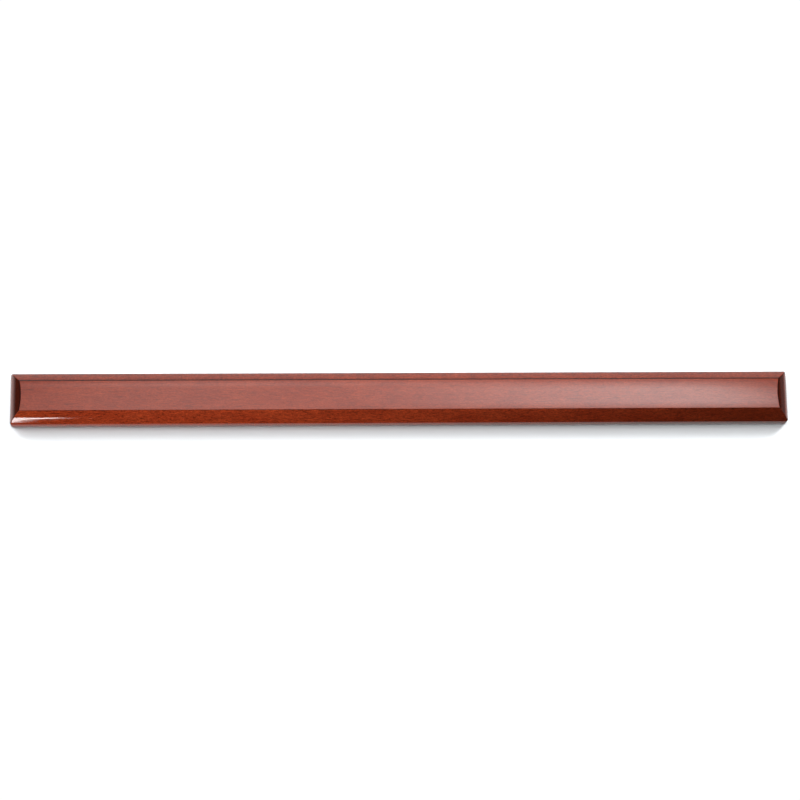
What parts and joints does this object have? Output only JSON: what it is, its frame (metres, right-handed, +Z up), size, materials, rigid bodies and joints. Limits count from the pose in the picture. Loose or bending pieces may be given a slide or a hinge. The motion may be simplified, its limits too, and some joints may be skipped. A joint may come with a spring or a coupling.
{
  "type": "magnetic knife rack",
  "caption": "Long wall-hung hardwood bar with a crowned panel, mitred bevels and a hidden magnet core that holds knives, hung on keyhole plates let into its back.",
  "frame": {"origin": "midway between the two keyholes' round entries, on the plane of the bar's back", "axes": "+X along the bar to the right as seen from the front, +Z up, +Y into the wall, so the knife face looks along -Y"},
  "size_m": [0.6, 0.019, 0.04],
  "materials": {
    "lacquered_wood": "red-brown stained hardwood under clear gloss lacquer, grain along the bar, darker on the end bevels",
    "zinc_steel": "bright zinc plated mild steel",
    "ferrite": "sintered ferrite block magnet, dark grey, matt",
    "spacer_plastic": "natural moulded plastic, matt",
    "foam": "closed-cell foam, matt",
    "plywood": "thin birch plywood, sanded and unfinished",
    "yellow_zinc": "yellow passivated zinc on steel"
  },
  "bodies": {
    "root": {"wood_body": "lacquered_wood", "upper_pole_rail": "zinc_steel", "lower_pole_rail": "zinc_steel", "magnet_01": "ferrite", "magnet_02": "ferrite", "magnet_03": "ferrite", "magnet_04": "ferrite", "magnet_05": "ferrite", "magnet_06": "ferrite", "magnet_07": "ferrite", "magnet_08": "ferrite", "magnet_09": "ferrite", "magnet_10": "ferrite", "magnet_11": "ferrite", "magnet_12": "ferrite", "spacer_01": "spacer_plastic", "spacer_02": "spacer_plastic", "spacer_03": "spacer_plastic", "spacer_04": "spacer_plastic", "spacer_05": "spacer_plastic", "spacer_06": "spacer_plastic", "spacer_07": "spacer_plastic", "spacer_08": "spacer_plastic", "spacer_09": "spacer_plastic", "spacer_10": "spacer_plastic", "spacer_11": "spacer_plastic", "foam_strip": "foam", "back_cover": "plywood", "cover_screws": "yellow_zinc", "left_hanger_plate": "zinc_steel", "right_hanger_plate": "zinc_steel", "hanger_screws": "zinc_steel"}
  },
  "joints": []
}
